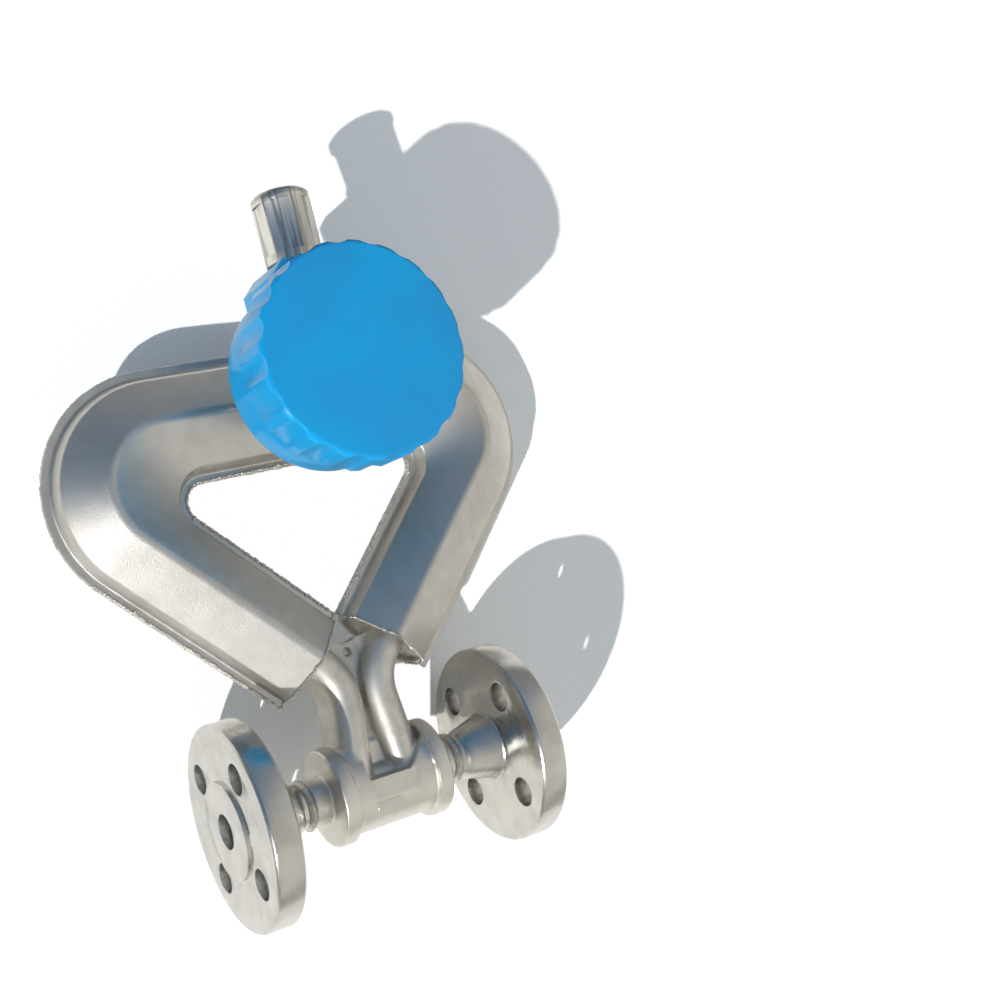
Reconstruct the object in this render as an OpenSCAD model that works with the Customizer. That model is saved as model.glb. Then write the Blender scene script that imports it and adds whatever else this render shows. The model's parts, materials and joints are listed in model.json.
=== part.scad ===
// Coriolis mass flow meter with a delta shaped sensor case, two weld-neck flanges
// and a screw-capped junction box.
// X runs from inlet to outlet, Z from the flow axis up to the top of the case,
// and the junction box faces -Y. The origin is the centre of the inlet's raised face.

/* [Process connection] */
// Distance over the two raised faces
face_to_face = 153; // [149:1:190]
// Outside diameter of a flange
flange_od = 95; // [92:1:105]
// Thickness of a flange with its raised face
flange_t = 16; // [14:1:20]
// Diameter of the raised face
raised_d = 45; // [38:1:48]
// Height of the raised face
raised_h = 2; // [1:0.5:3]
// Bolt circle diameter
bolt_circle = 65; // [62:1:72]
// Bolt hole diameter
bolt_hole_d = 14; // [12:0.5:15]
// Bolt holes in a flange
bolt_count = 4; // [4:4:8]
// Diameter of the weld neck where it leaves the flange
hub_d = 32; // [28:1:36]
// Height of the weld neck over the raised face
hub_h = 38; // [34:0.5:39]
// Outside diameter of the pipe end
pipe_od = 21.3; // [20.3:0.1:24]
// Bore of the pipe end
pipe_bore = 16.1; // [14:0.1:17]
// Width of the butt weld bead
bead_w = 4; // [2:0.5:5]
// Height of the butt weld bead over the pipe
bead_h = 0.9; // [0.5:0.1:1.5]

/* [Manifold] */
// Length over the two end discs
disc_span = 56; // [54:1:60]
// Diameter of an end disc
disc_d = 45.6; // [44:0.2:50]
// Thickness of an end disc
disc_t = 7; // [5:0.5:8]
// Diameter of the turned body between the discs
body_d = 40; // [38:1:42]
// Half width of a neck across the flow
neck_r = 8; // [7.5:0.25:9]
// Straight length of a neck's section from front to back
neck_flat = 13; // [11:0.5:14]
// Wall of a neck
neck_wall = 2.2; // [1.6:0.2:3]
// Radius of a neck's bend
neck_bend = 28; // [26:1:31]
// Inward lean of the lower neck, in degrees
neck_lean = 6; // [3:1:8]
// Height of the necks' feet over the flow axis
foot_z = 11; // [9:1:13]
// Thickness of the web between the necks
web_t = 6; // [4:1:14]
// Diameter of the hole in the web
web_hole_d = 4.2; // [3:0.2:5]

/* [Case] */
// Angle of a leg from upright, in degrees
leg_angle = 43.5; // [42:0.5:45]
// Height of the lower corner of the triangle gap
apex_z = 80; // [78:1:88]
// Width of a leg
leg_w = 52; // [50:1:56]
// Height of the case's top edge
top_z = 206; // [204:1:215]
// Width of the top bar
bar_w = 54; // [52:1:58]
// Radius of an outer corner
outer_corner_r = 54.4; // [50:0.2:57]
// Radius of an inner corner
inner_corner_r = 9; // [7:0.5:12]
// Depth of a half shell at its ridge
shell_depth = 21; // [20:0.5:26]
// Depth of a half shell at its bevel
bevel_depth = 9; // [7:0.5:11]
// Width of the seam flange
seam_w = 3.6; // [3:0.2:5]
// Width of the bevel beside the seam flange
bevel_w = 2.4; // [1.5:0.1:3.5]
// Thickness of the case's sheet
sheet_t = 1.5; // [1:0.1:2]
// Thickness of a leg's end plate
end_plate_t = 3; // [2:0.5:4]
// Width of the seam weld
weld_w = 0.8; // [0.4:0.1:1.2]

/* [Flow tubes] */
// Outside diameter of a flow tube
tube_od = 8; // [7:0.5:8.5]
// Wall of a flow tube
tube_wall = 0.9; // [0.6:0.1:1.5]
// Distance from the middle plane to a tube's centre line
tube_y = 8; // [7.5:0.25:8.5]
// Radius of a tube's bends
tube_bend = 26; // [22:1:30]
// Thickness of a brace plate
brace_t = 2; // [1.5:0.5:3]
// Diameter of a coil
coil_d = 9; // [8:0.5:10]
// Diameter of a magnet
magnet_d = 4; // [3:0.5:4.5]

/* [Junction box] */
// Distance from the case's top edge down to the box's axis
box_drop = 24; // [22:1:26]
// Distance from the case's middle plane to the cover's face
cover_y = 95.6; // [92:0.2:100]
// Wall of the cover over its thread, up to the grip ribs
cover_wall = 6.8; // [6:0.2:8]
// Depth of the cover
cover_depth = 25; // [23:0.5:27]
// Grip ribs round the cover
rib_count = 20; // [16:1:24]
// Depth of the scallops between the ribs
scallop = 1.7; // [1:0.1:2]
// Radius of the cover's front edge
cover_round = 2.6; // [1.5:0.1:3.5]
// Thickness of the cover's face
cover_face = 4; // [3:0.5:6]
// Diameter of the housing
housing_d = 83; // [82:0.5:86]
// Wall of the housing
housing_wall = 4.5; // [3.5:0.5:5]
// Step from the housing down to its threaded spigot
spigot_step = 2; // [1.5:0.25:2.5]
// Length of the threaded spigot
spigot_len = 14; // [10:1:16]
// Radial clearance of the cover's thread
thread_gap = 0.08; // [0.05:0.01:0.1]
// Thickness of the housing's floor
floor_t = 6; // [5:0.5:8]
// Step from the housing in to its mounting foot
foot_step = 12.5; // [12:0.25:13.5]
// Outside diameter of the stub on the case
stub_d = 34; // [30:1:36]
// Wall of the stub
stub_wall = 3; // [2:0.5:4]
// Thickness of the gasket under the box
gasket_t = 1; // [0.5:0.5:2]

/* [Terminals] */
// Terminals in each row
terminal_count = 5; // [4:1:6]
// Pitch of the terminals
terminal_pitch = 9; // [8:0.5:9]
// Thickness of the terminal board
board_t = 2; // [1.6:0.2:3]
// Clearance between the terminal board and the housing's bore
board_gap = 1; // [0.5:0.25:1.5]

/* [Conduit entry] */
// Diameter of the adapter over its collars
adapter_d = 25.6; // [24:0.2:28]
// Width over the adapter's flats
adapter_flats = 22.6; // [21:0.2:24]
// Height of the adapter over its boss
adapter_h = 31.5; // [28:0.5:36]
// Height of a plain collar at each end
collar_h = 4.6; // [3:0.2:6]
// Diameter of the adapter's outer thread
entry_d = 20; // [18:0.5:21]
// Diameter of the cable passage
passage_d = 13; // [10:0.5:14]

/* [Hidden] */
$fn = 96;
tube_fn = 32;
neck_fn = 48;
eps = 0.01;
edge = 1.2;            // bevel on a flange's rim
half_face = face_to_face / 2;
weld_x = half_face - hub_h;

// Leg directions and points, given for the inlet side; the outlet side is mirrored.
along = [-sin(leg_angle), cos(leg_angle)];
outward = [-cos(leg_angle), -sin(leg_angle)];
apex = [0, apex_z];
leg_start = 1;         // the leg's shell starts this far along it from the apex
plate_start = leg_start + 2;
plate_end = plate_start + end_plate_t;
neck_end = plate_end + 2;
socket_start = neck_end - 8;
leg_mid = apex + outward * leg_w / 2;
function leg_point(s) = leg_mid + along * s;

// Case outline: two straight edges and one arc on each side.
bar_in_z = top_z - bar_w;
outer_foot = apex + outward * leg_w;
corner_tan = tan((90 + leg_angle) / 2);
function corner_x(foot, z, r) = foot[0] + along[0] / along[1] * (z - foot[1]) + r * corner_tan;
outer_centre = [corner_x(outer_foot, top_z, outer_corner_r), top_z - outer_corner_r];
inner_centre = [corner_x(apex, bar_in_z, inner_corner_r), bar_in_z - inner_corner_r];
corner_steps = 14;
function polar(a) = [cos(a), sin(a)];
corner_angles = [for (k = [0:corner_steps])
  180 + leg_angle - k * (90 + leg_angle) / corner_steps];
function flip(p) = [-p[0], p[1]];
function reversed(v) = [for (k = [len(v) - 1:-1:0]) v[k]];
function both_sides(half) = concat(half, [for (p = reversed(half)) flip(p)]);
// Lines that run inside the case at a distance d from its outer or its inner outline
function outer_line(d) = both_sides(concat([outer_foot - outward * d + along * leg_start],
  [for (a = corner_angles) outer_centre + (outer_corner_r - d) * polar(a)]));
function inner_line(d) = both_sides(concat([apex + outward * d + along * leg_start],
  [for (a = corner_angles) inner_centre + (inner_corner_r + d) * polar(a)]));

// Half shell section: [distance from its own edge, depth], for the outside and the
// inside of the sheet. The ridge's points are [distance from the outer edge, depth].
ridge_at = leg_w / 2;
ridge_w = 3;
ridge_drop = 0.5;
lip = sheet_t * 1.2;
skin_outside = [[0, sheet_t], [seam_w, sheet_t], [seam_w + bevel_w, bevel_depth]];
skin_inside = [[0, 0], [seam_w + lip, 0], [seam_w + bevel_w + lip * 0.7, bevel_depth - sheet_t * 0.7]];
ridge_inside = shell_depth - lip;
function ridge_points(depth) = [[ridge_at - ridge_w, depth - ridge_drop], [ridge_at, depth],
  [ridge_at + ridge_w, depth - ridge_drop]];

// Flow tube path
tube_top = top_z - bar_w / 2;
tube_turn = 90 + leg_angle;
bend_swell = 0.05;
tube_corner = [corner_x(leg_mid, tube_top, tube_bend), tube_top - tube_bend];
leg_straight = norm(tube_corner + tube_bend * polar(180 + leg_angle) - leg_mid);

// Neck path
neck_bend_end = socket_start - 3;
neck_centre = leg_point(neck_bend_end) - neck_bend * [cos(leg_angle), sin(leg_angle)];
neck_low = neck_centre + neck_bend * [cos(neck_lean), -sin(neck_lean)];
neck_straight = (neck_low[1] - foot_z) / cos(neck_lean);
neck_foot = neck_low - neck_straight * [sin(neck_lean), cos(neck_lean)];
neck_in_r = neck_r - neck_wall;

// Junction box stations, as distances in front of the case's middle plane
box_z = top_z - box_drop;
skirt_y = cover_y - cover_depth;
housing_y = skirt_y - 0.6;
spigot_y = housing_y + spigot_len;
spigot_d = housing_d - 2 * spigot_step;
cover_d = spigot_d + 2 * cover_wall;
bore_r = housing_d / 2 - housing_wall - 1;
foot_d = housing_d - 2 * foot_step;
foot_y = 34;
cone_y = 46;
floor_y = foot_y + floor_t;
gasket_y = foot_y - gasket_t;
stub_flange_t = 6;
stub_flange_y = gasket_y - stub_flange_t;
screw_edge = 7;
screw_circle = foot_d - 2 * screw_edge;
seal_w = 2.4;
seal_t = 2;
seal_r = spigot_d / 2 + 0.4;
entry_y = 52;
boss_rise = 6.5;
boss_top = box_z + housing_d / 2 + boss_rise;
boss_w = 41;
boss_depth = 34;
boss_chamfer = 6.5;
board_y = housing_y - 5;
board_d = 2 * (bore_r - board_gap);
post_d = 8;
post_r = board_d / 2 - post_d / 2;
post_head = 2.8;
row_z = 13;
block_h = 11;
block_t = 8;
block_w = terminal_count * terminal_pitch + 3;
post_z = row_z + block_h / 2 + post_head + 0.6;
post_x = sqrt(post_r * post_r - post_z * post_z);
ground_r = board_d / 2 - 6;
ground_y = board_y + board_t + 1;

steel = [0.75, 0.73, 0.70];
cast = [0.68, 0.66, 0.62];
blue = [0.08, 0.55, 0.85];
copper = [0.72, 0.45, 0.25];
dark = [0.15, 0.15, 0.16];

// A cylinder along X from x0 to x1
module x_rod(x0, x1, r, r2 = undef) {
  translate([x0, 0, 0])
    rotate([0, 90, 0])
      cylinder(h = x1 - x0, r1 = r, r2 = is_undef(r2) ? r : r2);
}

// A cylinder along Y whose front end is d1 and whose back end is d0 before the middle plane
module y_rod(d0, d1, r, r2 = undef) {
  translate([0, -d0, 0])
    rotate([90, 0, 0])
      cylinder(h = d1 - d0, r1 = r, r2 = is_undef(r2) ? r : r2);
}

// The parts are drawn round the middle of the flow axis
module at_middle() {
  translate([half_face, 0, 0]) children();
}

module at_box() {
  translate([0, 0, box_z]) children();
}

// Places children drawn in the inlet leg's own frame: its axis becomes +Z at distance s
module on_leg(s) {
  p = leg_point(s);
  translate([p[0], 0, p[1]])
    rotate([0, -leg_angle, 0]) children();
}

module outlet_side() {
  mirror([1, 0, 0]) children();
}

// Stadium section of half width r, with its straight sides along the second axis
module stadium(r, flat) {
  square([2 * r, flat], center = true);
  translate([0, flat / 2]) circle(r = r, $fn = neck_fn);
  translate([0, -flat / 2]) circle(r = r, $fn = neck_fn);
}

// ---- Process connections ----
module flange() {
  profile = [
    [pipe_bore / 2, 0], [raised_d / 2, 0], [raised_d / 2, raised_h],
    [flange_od / 2 - edge, raised_h], [flange_od / 2, raised_h + edge],
    [flange_od / 2, flange_t - edge], [flange_od / 2 - edge, flange_t], [pipe_bore / 2, flange_t]
  ];
  difference() {
    translate([-half_face, 0, 0])
      rotate([0, 90, 0])
        rotate_extrude() polygon(profile);
    for (k = [0:bolt_count - 1])
      rotate([180 / bolt_count + 360 / bolt_count * k, 0, 0])
        translate([0, 0, bolt_circle / 2])
          x_rod(-half_face - 1, -half_face + flange_t + 1, bolt_hole_d / 2);
  }
}

// The flange's weld neck, up to the weld
module hub() {
  end = hub_h - bead_w / 2;
  profile = [
    [pipe_bore / 2, flange_t], [hub_d / 2 + 1, flange_t], [hub_d / 2, flange_t + 1],
    [pipe_od / 2 + edge, hub_h - 6], [pipe_od / 2, hub_h - 4], [pipe_od / 2, end],
    [pipe_bore / 2, end]
  ];
  translate([-half_face, 0, 0])
    rotate([0, 90, 0])
      rotate_extrude() polygon(profile);
}

module butt_weld() {
  r = pipe_od / 2;
  profile = [
    [pipe_bore / 2, -bead_w / 2], [r, -bead_w / 2], [r + bead_h, -bead_w / 4],
    [r + bead_h, bead_w / 4], [r, bead_w / 2], [pipe_bore / 2, bead_w / 2]
  ];
  translate([-weld_x, 0, 0])
    rotate([0, 90, 0])
      rotate_extrude() polygon(profile);
}

module inlet_flange() {
  color(steel) at_middle() flange();
}

module outlet_flange() {
  color(steel) at_middle() outlet_side() flange();
}

module inlet_hub() {
  color(steel) at_middle() hub();
}

module outlet_hub() {
  color(steel) at_middle() outlet_side() hub();
}

module inlet_weld() {
  color(cast) at_middle() butt_weld();
}

module outlet_weld() {
  color(cast) at_middle() outlet_side() butt_weld();
}

// ---- Manifold casting ----
// A stadium bar along the inlet neck: foot, bend and the straight end in the leg
module neck_bar(r, flat, start = 0, end = neck_end) {
  translate([neck_foot[0], 0, neck_foot[1]])
    rotate([0, neck_lean, 0])
      translate([0, 0, start])
        linear_extrude(height = neck_straight - start) stadium(r, flat);
  translate([neck_centre[0], 0, neck_centre[1]])
    rotate([90, 0, 0])
      rotate([0, 0, -neck_lean])
        rotate_extrude(angle = leg_angle + neck_lean, $fn = 72)
          translate([neck_bend, 0]) stadium(r, flat);
  on_leg(neck_bend_end)
    linear_extrude(height = end - neck_bend_end) stadium(r, flat);
}

module disc() {
  r = disc_d / 2;
  profile = [
    [0, 0], [r - 2.4, 0], [r - 0.7, 0.7], [r, 2.4], [r, disc_t - 0.6], [r - 0.6, disc_t], [0, disc_t]
  ];
  translate([-disc_span / 2, 0, 0])
    rotate([0, 90, 0])
      rotate_extrude() polygon(profile);
}

// Milled pocket in the body's upper front, open to the top
module pocket() {
  floor_z = 4;
  x0 = -12;
  x1 = disc_span / 2 - disc_t;
  run_out = 12;
  wall = [for (k = [0:6]) [x1 - run_out * cos(k * 15), floor_z + run_out * (1 - sin(90 - k * 15))]];
  translate([0, -web_t / 2 - 2, 0])
    rotate([90, 0, 0])
      linear_extrude(height = disc_d)
        polygon(concat([[x0, floor_z]], wall, [[x1, body_d], [x0, body_d]]));
}

// Flat front pad with its shallow rectangular mark
module front_pad() {
  pad_y = body_d / 2 - 0.7;
  translate([-12, -body_d, -13])
    cube([2 * 12, body_d - pad_y, 17]);
  translate([-11, -pad_y - 0.4, -12.5])
    cube([13, 0.8, 6]);
}

module web() {
  half = web_t / 2;
  top = leg_point(leg_start)[1] + 5;
  rotate([90, 0, 0])
    translate([0, 0, -half])
      linear_extrude(height = web_t)
        difference() {
          polygon([[neck_foot[0], 0], [neck_low[0], neck_low[1]], [leg_mid[0] * 0.62, top],
            [-leg_mid[0] * 0.62, top], [-neck_low[0], neck_low[1]], [-neck_foot[0], 0]]);
          translate([0, top + 11.5]) circle(r = 13);
          translate([0, top - 6]) circle(d = web_hole_d);
        }
}

module tube_sockets() {
  for (side = [-1, 1])
    on_leg(socket_start - eps)
      translate([0, side * tube_y, 0])
        cylinder(h = neck_end - socket_start + 1, d = tube_od);
}

module neck_passage() {
  neck_bar(neck_in_r, neck_flat, start = 8, end = socket_start);
  translate([neck_foot[0], 0, 0])
    rotate([0, neck_lean, 0])
      cylinder(h = foot_z + 12, r = neck_in_r);
}

module manifold() {
  body_half = disc_span / 2 - disc_t;
  stub_end = weld_x - bead_w / 2;
  color(cast) at_middle()
    difference() {
      union() {
        difference() {
          x_rod(-body_half - eps, body_half + eps, body_d / 2);
          pocket();
          front_pad();
        }
        disc();
        outlet_side() disc();
        x_rod(-stub_end, stub_end, pipe_od / 2);
        web();
        neck_bar(neck_r, neck_flat, start = -foot_z);
        outlet_side() neck_bar(neck_r, neck_flat, start = -foot_z);
      }
      x_rod(-stub_end - 1, neck_foot[0] + neck_in_r, pipe_bore / 2);
      x_rod(-neck_foot[0] - neck_in_r, stub_end + 1, pipe_bore / 2);
      neck_passage();
      outlet_side() neck_passage();
      tube_sockets();
      outlet_side() tube_sockets();
    }
}

// ---- Sensor case ----
// Each line of the half shell runs its whole length. They go round the section: the
// outside skin from the outer edge to the inner edge, then the inside skin back.
shell_lines = concat(
  [for (q = skin_outside) [outer_line(q[0]), q[1]]],
  [for (q = ridge_points(shell_depth)) [outer_line(q[0]), q[1]]],
  [for (q = reversed(skin_outside)) [inner_line(q[0]), q[1]]],
  [for (q = skin_inside) [inner_line(q[0]), q[1]]],
  [for (q = reversed(ridge_points(ridge_inside))) [outer_line(q[0]), q[1]]],
  [for (q = reversed(skin_inside)) [outer_line(q[0]), q[1]]]);

module half_shell() {
  rows = len(outer_line(0));
  n = len(shell_lines);
  half = n / 2;
  points = [for (k = [0:rows - 1]) for (l = shell_lines) [l[0][k][0], -l[1], l[0][k][1]]];
  sides = [for (k = [0:rows - 2]) for (j = [0:n - 1])
    let (a = k * n + j, b = k * n + (j + 1) % n, c = b + n, d = a + n)
    each [[a, c, b], [a, d, c]]];
  start = [for (j = [0:half - 2])
    let (a = j, b = j + 1, c = n - 2 - j, d = n - 1 - j)
    each [[a, b, c], [a, c, d]]];
  last = (rows - 1) * n;
  finish = [for (f = start) [f[2] + last, f[1] + last, f[0] + last]];
  polyhedron(points = points, faces = concat(sides, start, finish), convexity = 6);
}

module case_front() {
  color(steel) at_middle()
    difference() {
      half_shell();
      at_box() y_rod(0, shell_depth + 5, stub_d / 2 - stub_wall);
    }
}

module case_back() {
  color(steel) at_middle() mirror([0, 1, 0]) half_shell();
}

// A band between two lines along the seam, closing the two sheets' edges
module edge_band(from, to) {
  rotate([90, 0, 0])
    translate([0, 0, -sheet_t])
      linear_extrude(height = 2 * sheet_t)
        polygon(concat(from, reversed(to)));
}

module outer_seam_weld() {
  color(cast) at_middle() edge_band(outer_line(0), outer_line(-weld_w));
}

module inner_seam_weld() {
  color(cast) at_middle() edge_band(inner_line(0), inner_line(-weld_w));
}

// Plate that closes a leg round the neck, in the shape of the case's inside
module end_plate() {
  side = [for (q = skin_inside) [leg_w / 2 - q[0], q[1]]];
  quarter = [for (k = [1:len(side) - 1]) side[k]];
  peak = [for (q = ridge_points(ridge_inside)) [leg_w / 2 - q[0], q[1]]];
  ring = concat(quarter, peak, [for (q = reversed(quarter)) flip(q)]);
  outline = concat(ring, [for (q = reversed(ring)) [q[0], -q[1]]]);
  on_leg(plate_start)
    linear_extrude(height = end_plate_t)
      difference() {
        polygon(outline);
        stadium(neck_r, neck_flat);
      }
}

module inlet_end_plate() {
  color(steel) at_middle() end_plate();
}

module outlet_end_plate() {
  color(steel) at_middle() outlet_side() end_plate();
}

// ---- Flow tubes and their electrics ----
// Ring section of a tube; a bend's is larger by its swell on the outside and the inside
module tube_ring(swell = 0) {
  difference() {
    circle(d = tube_od + 2 * swell, $fn = tube_fn);
    circle(d = tube_od - 2 * tube_wall - 2 * swell, $fn = tube_fn);
  }
}

module half_tube() {
  lap = 1;
  on_leg(socket_start)
    linear_extrude(height = leg_straight - socket_start) tube_ring();
  translate([tube_corner[0], 0, tube_corner[1]])
    rotate([90, 0, 0])
      rotate([0, 0, 90 - lap])
        rotate_extrude(angle = tube_turn + 2 * lap, $fn = neck_fn)
          translate([tube_bend, 0]) tube_ring(bend_swell);
}

module flow_tube(y) {
  translate([0, y, 0]) {
    half_tube();
    outlet_side() half_tube();
    translate([tube_corner[0], 0, tube_top])
      rotate([0, 90, 0])
        linear_extrude(height = -2 * tube_corner[0]) tube_ring();
  }
}

module flow_tube_front() {
  color(steel) at_middle() flow_tube(-tube_y);
}

module flow_tube_back() {
  color(steel) at_middle() flow_tube(tube_y);
}

module brace(s) {
  on_leg(s)
    linear_extrude(height = brace_t)
      difference() {
        stadium(tube_od / 2 + 2.2, 2 * tube_y);
        for (side = [-1, 1])
          translate([0, side * tube_y]) circle(d = tube_od);
      }
}

brace_low = neck_end + 6;
brace_high = neck_end + 16;

module inlet_brace_lower() {
  color(steel) at_middle() brace(brace_low);
}

module inlet_brace_upper() {
  color(steel) at_middle() brace(brace_high);
}

module outlet_brace_lower() {
  color(steel) at_middle() outlet_side() brace(brace_low);
}

module outlet_brace_upper() {
  color(steel) at_middle() outlet_side() brace(brace_high);
}

// Coil and magnet stand between the tubes; the tube runs along local X
saddle_y = tube_y - tube_od / 2;
module saddle() {
  difference() {
    translate([-coil_d / 2, -saddle_y - 1.6, -coil_d / 2])
      cube([coil_d, 2.2, coil_d]);
    translate([0, -tube_y, 0]) x_rod(-coil_d, coil_d, tube_od / 2);
  }
}

module coil() {
  face = saddle_y - 0.6;
  difference() {
    union() {
      saddle();
      y_rod(0, face, coil_d / 2);
    }
    y_rod(-1, face - 0.4, magnet_d / 2 + 0.8);
  }
}

module magnet() {
  mirror([0, 1, 0]) {
    saddle();
    y_rod(saddle_y - 1.6, saddle_y - 0.6, coil_d / 2);
    y_rod(1.8 - saddle_y, saddle_y - 1.6, magnet_d / 2);
  }
}

pickoff_at = leg_straight * 0.72;
module at_pickoff() {
  on_leg(pickoff_at)
    rotate([0, 90, 0]) children();
}

module at_drive() {
  translate([0, 0, tube_top]) children();
}

module drive_coil() {
  color(copper) at_middle() at_drive() coil();
}

module drive_magnet() {
  color(dark) at_middle() at_drive() magnet();
}

module inlet_pickoff_coil() {
  color(copper) at_middle() at_pickoff() coil();
}

module inlet_pickoff_magnet() {
  color(dark) at_middle() at_pickoff() magnet();
}

module outlet_pickoff_coil() {
  color(copper) at_middle() outlet_side() at_pickoff() coil();
}

module outlet_pickoff_magnet() {
  color(dark) at_middle() outlet_side() at_pickoff() magnet();
}

module temperature_sensor() {
  color(cast) at_middle()
    on_leg(brace_high + 14)
      difference() {
        translate([0, -tube_y, 0]) cylinder(h = 12, d = tube_od + 2.4);
        translate([0, -tube_y, -1]) cylinder(h = 14, d = tube_od);
        translate([-tube_od, -tube_y + tube_od / 2 - 1, -1]) cube([2 * tube_od, tube_od, 14]);
      }
}

// ---- Junction box ----
module ring_of(n, radius, turn = 0) {
  for (k = [0:n - 1])
    rotate([0, turn + 360 / n * k, 0])
      translate([0, 0, radius]) children();
}

// The top bar's outside, so that the stub's end sits on its two slopes
module bar_gable() {
  from_top = [for (p = skin_outside) [top_z - p[0], p[1]]];
  from_gap = [for (p = reversed(skin_outside)) [bar_in_z + p[0], p[1]]];
  peak = [for (p = ridge_points(shell_depth)) [top_z - p[0], p[1]]];
  side = concat([[top_z, -1]], from_top, peak, from_gap, [[bar_in_z, -1]]);
  rotate([90, 0, 90])
    translate([0, 0, -stub_d])
      linear_extrude(height = 2 * stub_d)
        polygon([for (p = side) [-p[1], p[0]]]);
}

module junction_stub() {
  color(steel) at_middle()
    difference() {
      at_box()
        difference() {
          union() {
            y_rod(0, gasket_y, stub_d / 2);
            y_rod(stub_flange_y, gasket_y, foot_d / 2);
          }
          y_rod(-1, gasket_y + 1, stub_d / 2 - stub_wall);
          ring_of(4, screw_circle / 2, 45)
            y_rod(stub_flange_y - 1, gasket_y + 1, 2.5);
        }
      bar_gable();
    }
}

header_t = 4;
header_y = stub_flange_y - header_t;
pin_d = 1.2;
pin_ring = 8;
pin_reach = 6;
module feedthrough() {
  color(dark) at_middle()
    at_box()
      difference() {
        y_rod(header_y, header_y + header_t, stub_d / 2 - stub_wall);
        ring_of(9, pin_ring) y_rod(header_y - 1, header_y + header_t + 1, pin_d / 2);
      }
}

module feedthrough_pins() {
  color(copper) at_middle()
    at_box()
      ring_of(9, pin_ring)
        y_rod(header_y - pin_reach, header_y + header_t + pin_reach, pin_d / 2);
}

module junction_gasket() {
  color(dark) at_middle()
    at_box()
      difference() {
        y_rod(gasket_y, foot_y, foot_d / 2 - 1);
        y_rod(gasket_y - 1, foot_y + 1, stub_d / 2 - stub_wall);
        ring_of(4, screw_circle / 2, 45) y_rod(gasket_y - 1, foot_y + 1, 2.7);
      }
}

module junction_screws() {
  color(steel) at_middle()
    at_box()
      ring_of(4, screw_circle / 2, 45)
        difference() {
          union() {
            y_rod(stub_flange_y + 0.5, floor_y, 2.5);
            y_rod(floor_y, floor_y + 5, 4.25);
          }
          y_rod(floor_y + 2.4, floor_y + 6, 2.3, 2.3, $fn = 6);
        }
}

module at_posts() {
  for (x = [-post_x, post_x]) for (z = [-post_z, post_z])
    translate([x, 0, z]) children();
}

module boss() {
  half = boss_w / 2;
  top = boss_top - box_z;
  root = foot_d / 2 - 9;
  translate([0, -entry_y + boss_depth / 2, 0])
    rotate([90, 0, 0])
      linear_extrude(height = boss_depth)
        polygon([[-half, root], [-half, top - boss_chamfer], [-half + boss_chamfer, top],
          [half - boss_chamfer, top], [half, top - boss_chamfer], [half, root]]);
}

module junction_body() {
  color(blue) at_middle()
    at_box()
      difference() {
        union() {
          difference() {
            union() {
              y_rod(cone_y, housing_y, housing_d / 2);
              y_rod(foot_y, cone_y, foot_d / 2, housing_d / 2);
              y_rod(housing_y - eps, spigot_y, spigot_d / 2);
              boss();
            }
            y_rod(floor_y + 4, spigot_y + 1, bore_r);
            y_rod(floor_y, floor_y + 4 + eps, foot_d / 2 - 1, bore_r);
          }
          at_posts() y_rod(floor_y - 1, board_y, post_d / 2);
          translate([0, 0, -ground_r])
            y_rod(floor_y - 1, ground_y, post_d / 2);
        }
        y_rod(foot_y - 1, floor_y + 1, stub_d / 2 - stub_wall);
        ring_of(4, screw_circle / 2, 45) y_rod(foot_y - 1, floor_y + 1, 2.7);
        at_posts() y_rod(board_y - 8, board_y + 1, 1.5);
        translate([0, 0, -ground_r]) y_rod(ground_y - 9, ground_y + 1, 2.5);
        translate([0, -entry_y, bore_r - 5])
          cylinder(h = boss_top - box_z - bore_r + 6, d = entry_d);
      }
}

module scalloped_disc() {
  r = cover_d / 2;
  cut = 9;
  difference() {
    circle(r = r);
    for (k = [0:rib_count - 1])
      rotate(360 / rib_count * k)
        translate([r + cut - scallop, 0]) circle(r = cut, $fn = 48);
  }
}

module cover() {
  r = cover_d / 2;
  c = cover_round;
  bore = spigot_d / 2 + thread_gap;
  lip_r = seal_r + seal_w + 0.2;
  seat = seal_t + 0.6;
  arc = [for (k = [0:6]) [r - c + c * sin(k * 15), cover_depth - c + c * cos(k * 15)]];
  profile = concat([[0, cover_depth]], arc, [
    [r, 1.2], [r - 1.2, 0], [lip_r, 0], [lip_r, seat], [bore, seat],
    [bore, cover_depth - cover_face - 1.5], [bore - 1.5, cover_depth - cover_face],
    [0, cover_depth - cover_face]]);
  color(blue) at_middle()
    at_box()
      translate([0, -skirt_y, 0])
        rotate([90, 0, 0])
          intersection() {
            rotate_extrude() polygon(profile);
            linear_extrude(height = cover_depth) scalloped_disc();
          }
}

module cover_seal() {
  back = housing_y + 0.3;
  color(dark) at_middle()
    at_box()
      difference() {
        y_rod(back, back + seal_t, seal_r + seal_w);
        y_rod(back - 1, back + seal_t + 1, seal_r);
      }
}

module terminal_board() {
  color([0.1, 0.35, 0.2]) at_middle()
    at_box()
      difference() {
        y_rod(board_y, board_y + board_t, board_d / 2);
        at_posts() y_rod(board_y - 1, board_y + board_t + 1, 1.7);
        translate([0, 0, -ground_r - 3]) y_rod(board_y - 1, board_y + board_t + 1, 8.5);
      }
}

module board_screws() {
  color(steel) at_middle()
    at_box()
      at_posts() {
        y_rod(board_y - 6, board_y + board_t, 1.5);
        y_rod(board_y + board_t, board_y + board_t + 2, post_head);
      }
}

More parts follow.
